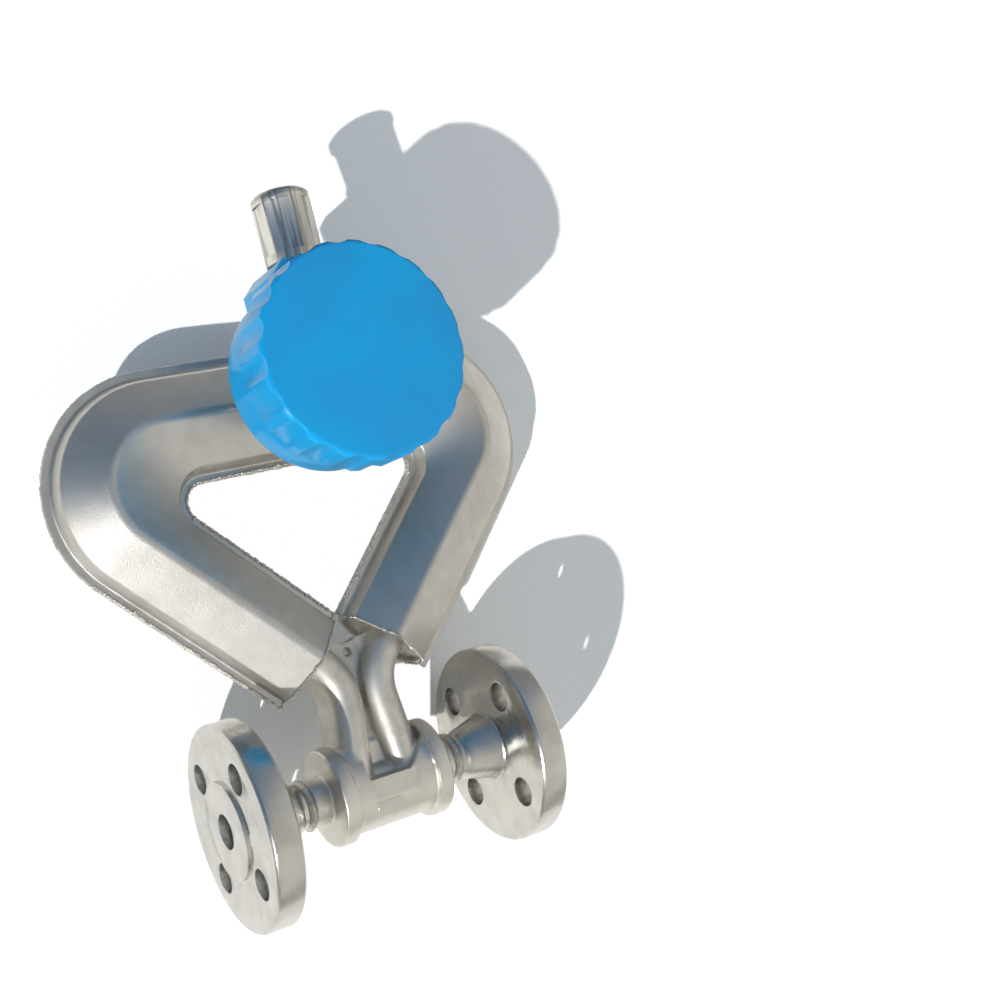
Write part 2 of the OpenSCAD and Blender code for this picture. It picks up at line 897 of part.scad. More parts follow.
module terminal_block(z) {
  y0 = board_y + board_t;
  side = z > 0 ? 1 : -1;
  at_box()
    difference() {
      translate([-block_w / 2, -y0 - block_t, z - block_h / 2])
        cube([block_w, block_t, block_h]);
      for (k = [0:terminal_count - 1]) {
        x = (k - (terminal_count - 1) / 2) * terminal_pitch;
        translate([x, 0, z]) y_rod(y0 + 3, y0 + block_t + 1, 2.6);
        translate([x - 2.4, -y0 - 5.5, z + side * block_h / 2 - 4])
          cube([4.8, 4, 8]);
      }
    }
}

module terminal_block_upper() {
  color(dark) at_middle() terminal_block(row_z);
}

module terminal_block_lower() {
  color(dark) at_middle() terminal_block(-row_z + 2);
}

module terminal_screws() {
  y0 = board_y + board_t;
  color(steel) at_middle()
    at_box()
      for (z = [row_z, -row_z + 2]) for (k = [0:terminal_count - 1])
        translate([(k - (terminal_count - 1) / 2) * terminal_pitch, 0, z])
          difference() {
            y_rod(y0 + 3, y0 + block_t - 1, 2.4);
            translate([-3, -y0 - block_t, -0.4]) cube([6, 1.9, 0.8]);
          }
}

module ground_screw() {
  top = ground_y + 1.2;
  color(steel) at_middle()
    at_box()
      translate([0, 0, -ground_r])
        difference() {
          union() {
            y_rod(ground_y - 8, top, 2.5);
            y_rod(top, top + 3, 4.5);
          }
          translate([-5, -top - 3.5, -0.6]) cube([10, 1.8, 1.2]);
        }
}

module ground_washer() {
  color([0.8, 0.7, 0.3]) at_middle()
    at_box()
      translate([0, 0, -ground_r])
        difference() {
          y_rod(ground_y, ground_y + 1.2, 5);
          y_rod(ground_y - 1, ground_y + 2, 2.6);
        }
}

// ---- Conduit entry ----
adapter_z = boss_top + gasket_t;
module conduit_seal() {
  color(dark) at_middle()
    translate([0, -entry_y, boss_top])
      difference() {
        cylinder(h = gasket_t, d = adapter_d - 1);
        translate([0, 0, -1]) cylinder(h = gasket_t + 2, d = entry_d);
      }
}

module conduit_adapter() {
  r = adapter_d / 2;
  thread_len = 12;
  profile = [
    [0, -thread_len], [entry_d / 2 - 1, -thread_len], [entry_d / 2, 1 - thread_len],
    [entry_d / 2, 0], [r - 0.8, 0], [r, 0.8], [r, adapter_h - 1.6], [r - 1.6, adapter_h],
    [0, adapter_h]
  ];
  color(steel) at_middle()
    translate([0, -entry_y, adapter_z])
      difference() {
        rotate_extrude() polygon(profile);
        difference() {
          translate([0, 0, collar_h])
            cylinder(h = adapter_h - 2 * collar_h, r = adapter_d);
          translate([0, 0, collar_h - 1])
            rotate([0, 0, 30])
              cylinder(h = adapter_h, d = adapter_flats / cos(30), $fn = 6);
        }
        translate([0, 0, -thread_len - 1]) cylinder(h = adapter_h + thread_len + 2, d = passage_d);
        translate([0, 0, adapter_h - 16]) cylinder(h = 17, d = entry_d - 1.5);
      }
}

inlet_flange();
outlet_flange();
inlet_hub();
outlet_hub();
inlet_weld();
outlet_weld();
manifold();
case_front();
case_back();
outer_seam_weld();
inner_seam_weld();
inlet_end_plate();
outlet_end_plate();
flow_tube_front();
flow_tube_back();
inlet_brace_lower();
inlet_brace_upper();
outlet_brace_lower();
outlet_brace_upper();
drive_coil();
drive_magnet();
inlet_pickoff_coil();
inlet_pickoff_magnet();
outlet_pickoff_coil();
outlet_pickoff_magnet();
temperature_sensor();
junction_stub();
feedthrough();
feedthrough_pins();
junction_gasket();
junction_body();
junction_screws();
cover();
cover_seal();
terminal_board();
board_screws();
terminal_block_upper();
terminal_block_lower();
terminal_screws();
ground_screw();
ground_washer();
conduit_seal();
conduit_adapter();
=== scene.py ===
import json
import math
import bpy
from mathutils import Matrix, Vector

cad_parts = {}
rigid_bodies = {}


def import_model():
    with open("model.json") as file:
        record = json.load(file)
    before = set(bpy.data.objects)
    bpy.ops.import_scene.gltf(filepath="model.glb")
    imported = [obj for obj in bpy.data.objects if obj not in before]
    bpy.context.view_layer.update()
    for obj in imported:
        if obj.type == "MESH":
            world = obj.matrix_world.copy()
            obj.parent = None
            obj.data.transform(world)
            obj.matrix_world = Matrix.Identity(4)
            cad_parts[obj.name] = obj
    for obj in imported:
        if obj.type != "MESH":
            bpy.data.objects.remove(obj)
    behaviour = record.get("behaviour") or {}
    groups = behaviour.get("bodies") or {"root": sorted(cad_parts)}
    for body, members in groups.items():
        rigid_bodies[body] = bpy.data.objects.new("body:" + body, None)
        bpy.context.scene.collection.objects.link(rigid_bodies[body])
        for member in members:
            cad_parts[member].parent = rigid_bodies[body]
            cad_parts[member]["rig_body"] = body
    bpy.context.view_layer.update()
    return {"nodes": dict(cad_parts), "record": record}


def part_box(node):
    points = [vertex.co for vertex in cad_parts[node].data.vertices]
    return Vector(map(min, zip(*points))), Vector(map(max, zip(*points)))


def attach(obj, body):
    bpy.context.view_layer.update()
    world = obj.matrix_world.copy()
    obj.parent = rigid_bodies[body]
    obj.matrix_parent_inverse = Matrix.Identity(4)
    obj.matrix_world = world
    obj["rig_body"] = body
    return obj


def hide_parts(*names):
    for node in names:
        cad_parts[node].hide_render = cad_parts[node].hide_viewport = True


bl_info = {
    "name": "Coriolis flow meter finish",
    "version": (1, 0, 0),
    "blender": (4, 5, 0),
    "location": "3D View > Sidebar > Flow meter",
    "description": "Dresses the packed flow meter with its finishes, pressed case, welds and stage",
    "category": "Object",
}

from typing import NamedTuple

import bmesh
import bpy
import numpy as np
from bpy.props import FloatProperty, FloatVectorProperty, IntProperty, PointerProperty
from mathutils import Matrix, Vector

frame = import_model()
MM = 0.001
# Corners of a solid's loose triangles that lie this close, in metres, are one corner
MERGE = 2e-6
# The case is drawn round the middle of the flow axis
MIDDLE = (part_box("inlet_flange")[0].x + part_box("outlet_flange")[1].x) / 2
# How far in from the case's edge its seam weld is laid, and how many of its points are ragged
SEAM_IN = 0.3
RAGGED_POINTS = 8


# ---------------------------------------------------------------- node arithmetic
class Value:
    """A node's output that takes part in Python arithmetic."""

    def __init__(self, owner, socket):
        self.owner = owner
        self.socket = socket

    def function(self, operation, other=None, swap=False):
        inputs = [self] if other is None else [self, other]
        if swap:
            inputs.reverse()
        return self.owner.add("ShaderNodeMath", {"operation": operation}, inputs)

    def output(self, key):
        """Another output of the same node."""
        return Value(self.owner, self.socket.node.outputs[key])

    def __add__(self, other):
        return self.function("ADD", other)

    def __sub__(self, other):
        return self.function("SUBTRACT", other)

    def __rsub__(self, other):
        return self.function("SUBTRACT", other, swap=True)

    def __mul__(self, other):
        return self.function("MULTIPLY", other)

    __radd__ = __add__
    __rmul__ = __mul__


class NodeTree:
    """A node tree that is built by arithmetic on sockets."""

    def __init__(self, tree):
        self.tree = tree
        self.tree.nodes.clear()

    def add(self, kind, settings=None, inputs=(), out=0):
        """Adds a node. Its settings come first, then its inputs by place or by name."""
        node = self.tree.nodes.new(kind)
        for key, value in (settings or {}).items():
            if key == "stops":
                set_stops(node.color_ramp, value)
            else:
                setattr(node, key, value)
        pairs = inputs.items() if isinstance(inputs, dict) else enumerate(inputs)
        for key, value in pairs:
            if isinstance(value, Value):
                self.tree.links.new(value.socket, node.inputs[key])
            else:
                node.inputs[key].default_value = value
        return Value(self, node.outputs[out])

    def end(self, kind, value):
        """Sends a value to a new output node of the tree."""
        self.tree.links.new(value.socket, self.tree.nodes.new(kind).inputs[0])

    def place(self):
        """Object coordinates in millimetres."""
        here = self.add("ShaderNodeTexCoord", out="Object")
        return self.add(
            "ShaderNodeMapping", {"vector_type": "POINT"}, {"Vector": here, "Scale": [1 / MM] * 3}
        )

    def split(self, vector):
        x = self.add("ShaderNodeSeparateXYZ", None, [vector])
        return x, x.output(1), x.output(2)

    def join(self, x, y, z):
        return self.add("ShaderNodeCombineXYZ", None, [x, y, z])

    def dot(self, vector, direction):
        """How far a place lies along a direction."""
        settings = {"operation": "DOT_PRODUCT"}
        return self.add("ShaderNodeVectorMath", settings, [vector, list(direction)], out="Value")

    def noise(self, vector, scale, detail=2.0, rough=0.5):
        return self.add(
            "ShaderNodeTexNoise",
            {"noise_dimensions": "3D"},
            {"Vector": vector, "Scale": scale, "Detail": detail, "Roughness": rough},
            out="Fac",
        )

    def cells(self, vector, scale):
        inputs = {"Vector": vector, "Scale": scale}
        return self.add("ShaderNodeTexVoronoi", {"feature": "F1"}, inputs, out="Distance")

    def spread(self, value, low, high, to_low=0.0, to_high=1.0):
        """Eases from one number to another while the value goes from low to high."""
        return self.add(
            "ShaderNodeMapRange",
            {"interpolation_type": "SMOOTHSTEP"},
            {0: value, 1: low, 2: high, 3: to_low, 4: to_high},
        )

    def blend(self, amount, first, second):
        """Mixes two colours."""
        inputs = {0: amount, 6: colour(first), 7: colour(second)}
        return self.add("ShaderNodeMix", {"data_type": "RGBA"}, inputs, out=2)


class Finish(NodeTree):
    """A material whose node tree ends in one shader."""

    def __init__(self, name):
        self.material = bpy.data.materials.new(name)
        self.material.use_nodes = True
        super().__init__(self.material.node_tree)

    def bump(self, height, strength, distance_mm, **normal):
        inputs = {"Height": height, "Strength": strength, "Distance": distance_mm * MM}
        return self.add("ShaderNodeBump", None, {**inputs, **normal})

    def surface(self, **sockets):
        """Ends the tree in a Principled shader with these sockets."""
        names = {key.replace("_", " ").title(): value for key, value in sockets.items()}
        names = {key.replace("Ior", "IOR"): value for key, value in names.items()}
        return self.close(self.add("ShaderNodeBsdfPrincipled", None, names))

    def close(self, shader):
        self.end("ShaderNodeOutputMaterial", shader)
        return self.material


def colour(value):
    return value if isinstance(value, Value) else (*value, 1.0)


def set_stops(ramp, stops):
    while len(ramp.elements) < len(stops):
        ramp.elements.new(0.5)
    for element, (position, value) in zip(ramp.elements, stops):
        element.position = position
        element.color = colour(value)


# ---------------------------------------------------------------- finishes
FINISHES = {}


def shared(name, maker, *args):
    """Makes a finish once and hands it out again after that."""
    if name not in FINISHES:
        FINISHES[name] = maker(name + "_finish", *args)
    return FINISHES[name]


def toned(tint, factor, lift=0.0):
    """A tint made lighter or darker."""
    return [min(1.0, c * factor + lift) for c in tint]


def turned_steel(name, tint, rough):
    """Lathe-turned steel: fine rings round the flow axis, with a little stain and wear."""
    f = Finish(name)
    place = f.place()
    x, y, z = f.split(place)
    radius = (y * y + z * z).function("SQRT")
    turn = y.function("ARCTAN2", z)
    wide, close = 4.0, 12.4
    rings = f.join(radius * wide, x * wide, turn * 0.35)
    rings = f.noise(rings, scale=1.0, detail=3.0, rough=0.6)
    fine = f.join(radius * close, x * close, turn * 0.9)
    fine = f.noise(fine, scale=1.0, detail=1.0)
    stain = f.noise(place, scale=0.09, detail=3.0)
    base = f.blend(f.spread(stain, 0.35, 0.7), tint, toned(tint, 0.86))
    wear = rough + ((rings - 0.5) * 0.8 + (stain - 0.5) * 0.6) * min(0.2, rough)
    relief = f.bump(rings * 0.7 + fine * 0.3, strength=0.55, distance_mm=0.03)
    return f.surface(base_color=base, metallic=1.0, roughness=wear, normal=relief)


def drawn_bar(name, tint, rough, centre, top):
    """Bright drawn bar: lines along its length, dark streaks round it that are painted reflections
    and also give relief, and painted shade on its top end.
    """
    f = Finish(name)
    place = f.place()
    x, y, z = f.split(place)
    a, b = x - centre[0], y - centre[1]
    turn = a.function("ARCTAN2", b)
    # Painted reflection: dark streaks round the bar, whose pattern also gives the bar's relief
    reflection_and_relief_bands = f.noise(f.join(turn * 3.4, z * 0.012, 5.0), scale=1.0, detail=2.0, rough=0.6)
    lines = f.noise(f.join(a * 1.6, b * 1.6, z * 0.03), scale=1.0, detail=3.0, rough=0.6)
    stain = f.noise(place, scale=0.25, detail=3.0)
    # Painted shade: the top end is darkened
    turned = f.spread(z, top - 3.4, top - 2.6)
    base = f.blend(f.spread(reflection_and_relief_bands, 0.5, 0.58), tint, toned(tint, 0.55))
    base = f.blend(turned * 0.6, base, toned(tint, 0.5))
    base = f.blend(f.spread(lines, 0.55, 0.7) * 0.5, base, toned(tint, 1.3))
    wear = rough + (stain - 0.5) * 0.1 + (lines - 0.5) * 0.1
    relief = f.bump(reflection_and_relief_bands * 0.8 + lines * 0.2, strength=0.8, distance_mm=0.3)
    return f.surface(base_color=base, metallic=1.0, roughness=wear, normal=relief)


def sheet_steel(name, tint, rough):
    """Pressed sheet with a satin skin, which is blasted coarser towards the inlet's leg."""
    f = Finish(name)
    place = f.place()
    x, _, z = f.split(place)
    broad = f.noise(place, scale=0.022, detail=3.0)
    cloud = f.noise(place, scale=0.11, detail=4.0, rough=0.6)
    grain = f.noise(place, scale=2.6, detail=2.0, rough=0.7)
    coarse = f.noise(place, scale=1.7, detail=2.0, rough=0.75)
    blasted = f.spread(z + x * 0.6 + (cloud - 0.5) * 40, 90.0, 190.0, to_low=1.0, to_high=0.2)
    straw = (0.5, 0.44, 0.36)
    base = f.blend(f.spread(cloud, 0.3, 0.75), tint, toned(tint, 0.9))
    base = f.blend(f.spread(broad, 0.45, 0.7) * 0.35, base, straw)
    wear = rough + (cloud - 0.5) * 0.14 + blasted * 0.05 + (grain - 0.5) * 0.1
    relief = f.bump(grain * 0.6 + coarse * 0.5, strength=0.45, distance_mm=0.04)
    relief = f.bump(coarse * blasted, strength=0.8, distance_mm=0.26, Normal=relief)
    relief = f.bump(cloud, strength=0.25, distance_mm=0.4, Normal=relief)
    return f.surface(base_color=base, metallic=1.0, roughness=wear, normal=relief)


def cast_steel(name, tint, rough):
    """Blasted casting whose body round the flow axis is turned brighter."""
    f = Finish(name)
    place = f.place()
    x, y, z = f.split(place)
    radius = (y * y + z * z).function("SQRT")
    turned = f.spread(radius, 22.9, 23.6, to_low=1.0, to_high=0.0)
    rings = f.join(radius * 5.0, x * 5.0, y.function("ARCTAN2", z) * 0.4)
    rings = f.noise(rings, scale=1.0, detail=3.0)
    cloud = f.noise(place, scale=0.12, detail=4.0, rough=0.6)
    skin = f.noise(place, scale=1.7, detail=3.0, rough=0.65)
    pits = f.spread(f.cells(place, scale=0.8), 0.0, 0.22)
    bright = (0.72, 0.69, 0.64)
    base = f.blend(f.spread(cloud, 0.3, 0.75), tint, toned(tint, 0.82))
    base = f.blend(turned * 0.5, base, bright)
    wear = rough + (cloud - 0.5) * 0.16 - turned * 0.12 + (skin - 0.5) * 0.1
    rough_skin = (skin * 0.7 + pits * 0.3) * (1 - turned)
    relief = f.bump(rough_skin + rings * turned * 0.25, strength=0.6, distance_mm=0.12)
    return f.surface(base_color=base, metallic=1.0, roughness=wear, normal=relief)


def weld_metal(name):
    """Weld bead with straw and grey heat tint and fine ripples."""
    f = Finish(name)
    place = f.place()
    cloud = f.noise(place, scale=0.25, detail=3.0)
    skin = f.noise(place, scale=1.4, detail=3.0)
    stops = [
        (0.25, (0.46, 0.45, 0.43)),
        (0.45, (0.66, 0.64, 0.6)),
        (0.6, (0.56, 0.52, 0.45)),
        (0.75, (0.4, 0.4, 0.4)),
    ]
    return f.surface(
        base_color=f.add("ShaderNodeValToRGB", {"stops": stops}, [cloud]),
        metallic=1.0,
        roughness=0.34 + (skin - 0.5) * 0.3,
        normal=f.bump(skin, strength=0.5, distance_mm=0.15),
    )


def powder_coat(name, tint, shade, front):
    """Gloss powder coat with orange peel, a little dust and painted shade, a darker tone, behind
    the front.
    """
    f = Finish(name)
    place = f.place()
    _, y, _ = f.split(place)
    cloud = f.noise(place, scale=0.03, detail=3.0)
    peel = f.noise(place, scale=0.55, detail=2.0)
    dust = f.noise(place, scale=0.4, detail=5.0, rough=0.75)
    dust_grey = (0.5, 0.55, 0.58)
    base = f.blend(f.spread(cloud, 0.3, 0.7), tint, shade)
    base = f.blend(f.spread(dust, 0.66, 0.85) * 0.1, base, dust_grey)
    # Painted shade: behind the front, on the skirt and the housing, the coat is darker
    base = f.blend(f.spread(y, front + 1.0, front + 4.0) * 0.75, base, toned(tint, 0.8))
    return f.surface(
        base_color=base,
        metallic=0.0,
        roughness=0.32 + (dust - 0.5) * 0.2,
        specular_ior_level=0.03,
        coat_weight=0.42,
        coat_roughness=0.12,
        normal=f.bump(peel, strength=0.5, distance_mm=0.25),
    )


def plain_metal(name, tint, rough, grain=1.5):
    """Bare metal with a fine grain and a little stain."""
    f = Finish(name)
    place = f.place()
    cloud = f.noise(place, scale=0.2, detail=3.0)
    fine = f.noise(place, scale=grain, detail=2.0)
    return f.surface(
        base_color=f.blend(f.spread(cloud, 0.3, 0.7), tint, toned(tint, 0.85)),
        metallic=1.0,
        roughness=rough + (cloud - 0.5) * 0.2,
        normal=f.bump(fine, strength=0.4, distance_mm=0.05),
    )


def moulded(name, tint, rough):
    """Moulded plastic or rubber with a fine grain."""
    f = Finish(name)
    place = f.place()
    cloud = f.noise(place, scale=0.15, detail=3.0)
    fine = f.noise(place, scale=1.2, detail=3.0)
    return f.surface(
        base_color=f.blend(f.spread(cloud, 0.3, 0.7), tint, toned(tint, 0.8, lift=0.01)),
        metallic=0.0,
        roughness=rough + (cloud - 0.5) * 0.15,
        normal=f.bump(fine, strength=0.4, distance_mm=0.06),
    )


def winding(name):
    """Copper wire laid in rings on a former."""
    f = Finish(name)
    place = f.place()
    _, y, _ = f.split(place)
    turns = (y * 14.0).function("SINE")
    cloud = f.noise(place, scale=0.4, detail=2.0)
    return f.surface(
        base_color=f.blend(f.spread(cloud, 0.3, 0.7), (0.65, 0.27, 0.12), (0.45, 0.17, 0.08)),
        metallic=1.0,
        roughness=0.32 + (cloud - 0.5) * 0.2,
        normal=f.bump(turns, strength=0.6, distance_mm=0.12),
    )


# ---------------------------------------------------------------- mesh helpers
def link(name, mesh):
    piece = bpy.data.objects.new(name, mesh)
    bpy.context.scene.collection.objects.link(piece)
    return piece


def settle(piece):
    """Turns the piece and its modifiers into a plain mesh."""
    bpy.context.view_layer.update()
    graph = bpy.context.evaluated_depsgraph_get()
    mesh = bpy.data.meshes.new_from_object(piece.evaluated_get(graph))
    if not mesh.polygons:
        raise RuntimeError(f"{piece.name} came out without a face")
    mesh.name = piece.name
    piece.modifiers.clear()
    piece.data = mesh
    return piece


def smooth(mesh, angle):
    """Smooth faces with sharp edges above an angle in degrees."""
    mesh.shade_smooth()
    mesh.set_sharp_from_angle(angle=math.radians(angle))


def mesh_from(name, points, faces):
    """A mesh whose doubles are merged and whose faces point outward."""
    mesh = bpy.data.meshes.new(name)
    mesh.from_pydata(points, [], faces)
    b = bmesh.new()
    b.from_mesh(mesh)
    bmesh.ops.remove_doubles(b, verts=b.verts, dist=1e-7)
    bmesh.ops.recalc_face_normals(b, faces=b.faces)
    b.to_mesh(mesh)
    b.free()
    return mesh


def join_into(piece, mesh):
    b = bmesh.new()
    b.from_mesh(piece.data)
    b.from_mesh(mesh)
    b.to_mesh(piece.data)
    b.free()
    smooth(piece.data, 40.0)


def merged_copy(node, flatten=False):
    """A copy of a solid's mesh with its loose triangles merged and, if asked, its flats joined."""
    mesh = frame["nodes"][node].data.copy()
    mesh.name = node + "_dressed"
    b = bmesh.new()
    b.from_mesh(mesh)
    bmesh.ops.remove_doubles(b, verts=b.verts, dist=MERGE)
    if flatten:
        bmesh.ops.dissolve_limit(
            b, angle_limit=math.radians(0.4), verts=b.verts, edges=b.edges, delimit={"NORMAL"}
        )
    b.to_mesh(mesh)
    b.free()
    return mesh


def seat(piece, node, material):
    """Gives a piece its finish, lets it ride where the node does and hides the node."""
    piece.data.materials.clear()
    piece.data.materials.append(material)
    for polygon in piece.data.polygons:
        polygon.material_index = 0
    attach(piece, frame["nodes"][node]["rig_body"])
    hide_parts(node)
    return piece


def dress(node, material, bevel_mm, segments=2, angle=28.0):
    """A copy of a CAD node with eased edges and smooth faces."""
    piece = link(node + "_dressed", merged_copy(node, flatten=True))
    edges = piece.modifiers.new("eased_edges", "BEVEL")
    edges.width = bevel_mm * MM
    edges.segments = segments
    edges.limit_method = "ANGLE"
    edges.angle_limit = math.radians(angle)
    edges.use_clamp_overlap = True
    edges.miter_outer = "MITER_ARC"
    settle(piece)
    smooth(piece.data, 30.0)
    return seat(piece, node, material)


# ---------------------------------------------------------------- case geometry
def millimetres(value):
    return round(value / MM, 4)


def unit(degrees):
    return Vector((math.cos(math.radians(degrees)), math.sin(math.radians(degrees))))


class Outline:
    """The case's two outlines in the X-Z plane, in millimetres round the flow axis' middle."""

    LEG_STEPS = 6
    # How far past the ridge a line still follows the outer outline
    RIDGE_ROUND = 3.5

    def __init__(self, shape):
        self.angle = round(math.degrees(shape.leg_angle), 4)
        a = math.radians(self.angle)
        self.along = Vector((-math.sin(a), math.cos(a)))
        self.outward = Vector((-math.cos(a), -math.sin(a)))
        self.apex = Vector((0.0, millimetres(shape.apex_z)))
        self.leg_w = millimetres(shape.leg_w)
        self.start = millimetres(shape.leg_start)
        self.outer_r = millimetres(shape.outer_corner_r)
        self.inner_r = millimetres(shape.inner_corner_r)
        self.foot = self.apex + self.outward * self.leg_w
        self.outer_c = self.corner(self.foot, millimetres(shape.top_z), self.outer_r)
        self.inner_c = self.corner(
            self.apex, millimetres(shape.top_z) - millimetres(shape.bar_w), self.inner_r
        )
        sweep = 90 + self.angle
        self.angles = [
            180 + self.angle - k * sweep / shape.corner_steps
            for k in range(shape.corner_steps + 1)
        ]

    def corner(self, foot, top, radius):
        """Centre of the arc between a leg's line and the bar's line at a height."""
        slope = math.tan(math.radians((90 + self.angle) / 2))
        lean = self.along.x / self.along.y
        return Vector((foot.x + lean * (top - foot.y) + radius * slope, top - radius))

    def line(self, u):
        """The line that runs at u millimetres from the outer outline, over both sides.
        Beyond the ridge it follows the inner outline."""
        if u <= self.leg_w / 2 + self.RIDGE_ROUND:
            foot = self.foot - self.outward * u
            arc = [self.outer_c + unit(a) * (self.outer_r - u) for a in self.angles]
        else:
            d = self.leg_w - u
            foot = self.apex + self.outward * d
            arc = [self.inner_c + unit(a) * (self.inner_r + d) for a in self.angles]
        start, steps = foot + self.along * self.start, self.LEG_STEPS
        half = [start.lerp(arc[0], k / steps) for k in range(steps)] + arc
        last = Vector((-half[-1].x, half[-1].y))
        bar = [half[-1].lerp(last, k / steps) for k in range(1, steps)]
        return half + bar + [Vector((-p.x, p.y)) for p in reversed(half)]


def rounded(corners, radii, steps=5):
    """A polyline whose inner corners are rounded."""
    path = [corners[0]]
    for before, corner, after, radius in zip(corners, corners[1:], corners[2:], radii):
        p, q, r = Vector(before), Vector(corner), Vector(after)
        a, b = (p - q).normalized(), (r - q).normalized()
        half = math.acos(max(-1.0, min(1.0, a.dot(b)))) / 2
        reach = min(radius / math.tan(half), 0.45 * min((p - q).length, (r - q).length))
        radius = reach * math.tan(half)
        centre = q + (a + b).normalized() * (radius / math.sin(half))
        first, last = q + a * reach - centre, q + b * reach - centre
        sweep = first.angle_signed(last)
        for k in range(steps + 1):
            turn = Matrix.Rotation(-sweep * k / steps, 2)
            path.append(tuple(centre + turn @ first))
    path.append(corners[-1])
    return path


def shell_section(shape):
    """Outside and inside of a half shell's section, as (distance from the outer edge, depth)."""
    w, t = millimetres(shape.leg_w), millimetres(shape.sheet_t)
    s = millimetres(shape.seam_w)
    b = s + millimetres(shape.bevel_w)
    e = millimetres(shape.bevel_depth)
    peak = millimetres(shape.shell_depth) + 0.8
    outside = rounded(
        [(0, t), (s, t), (b, e), (w / 2, peak), (w - b, e), (w - s, t), (w, t)],
        [1.2, 2.6, 5.0, 2.6, 1.2],
    )
    i, j = s + t * 1.2, b + t * 0.84
    floor, ridge = e - t * 0.7, peak - t * 1.2
    inside = rounded(
        [(w, 0), (w - i, 0), (w - j, floor), (w / 2, ridge), (j, floor), (i, 0), (0, 0)],
        [0.8, 1.8, 4.0, 1.8, 0.8],
    )
    return outside, inside


def row_point(p, y):
    """A point of the case's plane, at a depth, as a place in metres."""
    return (MIDDLE + p.x * MM, y * MM, p.y * MM)


def loft(name, lines):
    """Faces between neighbouring lines of points that close round a section."""
    n, rows = len(lines), len(lines[0])
    points = [line[k] for k in range(rows) for line in lines]
    faces = []
    for k in range(rows - 1):
        for j in range(n):
            a, b = k * n + j, k * n + (j + 1) % n
            faces.append((a, b, b + n, a + n))
    for k in (0, rows - 1):
        faces.append(tuple(k * n + j for j in range(n)))
    return mesh_from(name, points, faces)


def drilled(piece, centre, radius_mm, length_mm):
    """Cuts a round hole along Y through a shell."""
    before = len(piece.data.polygons)
    bpy.ops.mesh.primitive_cylinder_add(
        vertices=96,
        radius=radius_mm * MM,
        depth=length_mm * MM,
        location=centre,
        rotation=(math.pi / 2, 0, 0),
    )
    tool = bpy.context.object
    cut = piece.modifiers.new("hole", "BOOLEAN")
    cut.operation = "DIFFERENCE"
    cut.solver = "EXACT"
    cut.object = tool
    settle(piece)
    bpy.data.objects.remove(tool)
    if len(piece.data.polygons) == before:
        raise RuntimeError(f"the hole in {piece.name} was not cut")


# ---------------------------------------------------------------- weld ripples
class Bead(NamedTuple):
    """A weld's beads: spacing, radius and stray in millimetres, the rest as shares"""

    spacing: float
    radius: float
    stretch: float
    uneven: float
    stray: float = 0.0


SEAM_BEAD = Bead(spacing=0.8, radius=0.8, stretch=1.0, uneven=0.22, stray=0.12)
SPATTER = Bead(spacing=19.0, radius=1.0, stretch=0.8, uneven=0.4, stray=0.5)
RAGGED_BEAD = Bead(spacing=1.0, radius=0.7, stretch=1.0, uneven=0.4, stray=0.22)
END_BEAD = Bead(spacing=0.9, radius=0.8, stretch=0.9, uneven=0.3, stray=0.15)
BUTT_BEAD = Bead(spacing=0.7, radius=1.3, stretch=0.85, uneven=0.06)


def ripple_tree():
    """Geometry Nodes: flattened beads set close together along a line of points."""
    tree = bpy.data.node_groups.new("weld_ripples", "GeometryNodeTree")
    sockets = tree.interface
    sockets.new_socket("Geometry", in_out="INPUT", socket_type="NodeSocketGeometry")
    for label in ("Spacing", "Radius", "Stretch", "Uneven", "Stray"):
        sockets.new_socket(label, in_out="INPUT", socket_type="NodeSocketFloat")
    sockets.new_socket("Finish", in_out="INPUT", socket_type="NodeSocketMaterial")
    sockets.new_socket("Geometry", in_out="OUTPUT", socket_type="NodeSocketGeometry")
    g = NodeTree(tree)
    given = g.add("NodeGroupInput")
    uneven = given.output("Uneven")
    line = g.add("GeometryNodeMeshToCurve", None, {"Mesh": given})
    points = g.add(
        "GeometryNodeCurveToPoints",
        {"mode": "LENGTH"},
        {"Curve": line, "Length": given.output("Spacing")},
        out="Points",
    )
    stray = g.add(
        "FunctionNodeRandomValue",
        {"data_type": "FLOAT_VECTOR"},
        {0: (-1, -1, -1), 1: (1, 1, 1), "Seed": 11},
    )
    offset = g.add(
        "ShaderNodeVectorMath", {"operation": "SCALE"}, {0: stray, "Scale": given.output("Stray")}
    )
    moved = g.add("GeometryNodeSetPosition", None, {"Geometry": points, "Offset": offset})
    bead = g.add(
        "GeometryNodeMeshUVSphere",
        None,
        {"Segments": 8, "Rings": 6, "Radius": given.output("Radius")},
        out="Mesh",
    )
    size = g.add(
        "FunctionNodeRandomValue",
        {"data_type": "FLOAT"},
        {2: 1 - uneven, 3: 1 + uneven, "Seed": 7},
        out=1,
    )
    put = g.add(
        "GeometryNodeInstanceOnPoints",
        None,
        {
            "Points": moved,
            "Instance": bead,
            "Rotation": points.output("Rotation"),
            "Scale": g.join(size, size, size * given.output("Stretch")),
        },
    )
    solid = g.add("GeometryNodeRealizeInstances", None, [put])
    shade = g.add("GeometryNodeSetShadeSmooth", None, [solid])
    paint = {"Geometry": shade, "Material": given.output("Finish")}
    g.end("NodeGroupOutput", g.add("GeometryNodeSetMaterial", None, paint))
    return tree


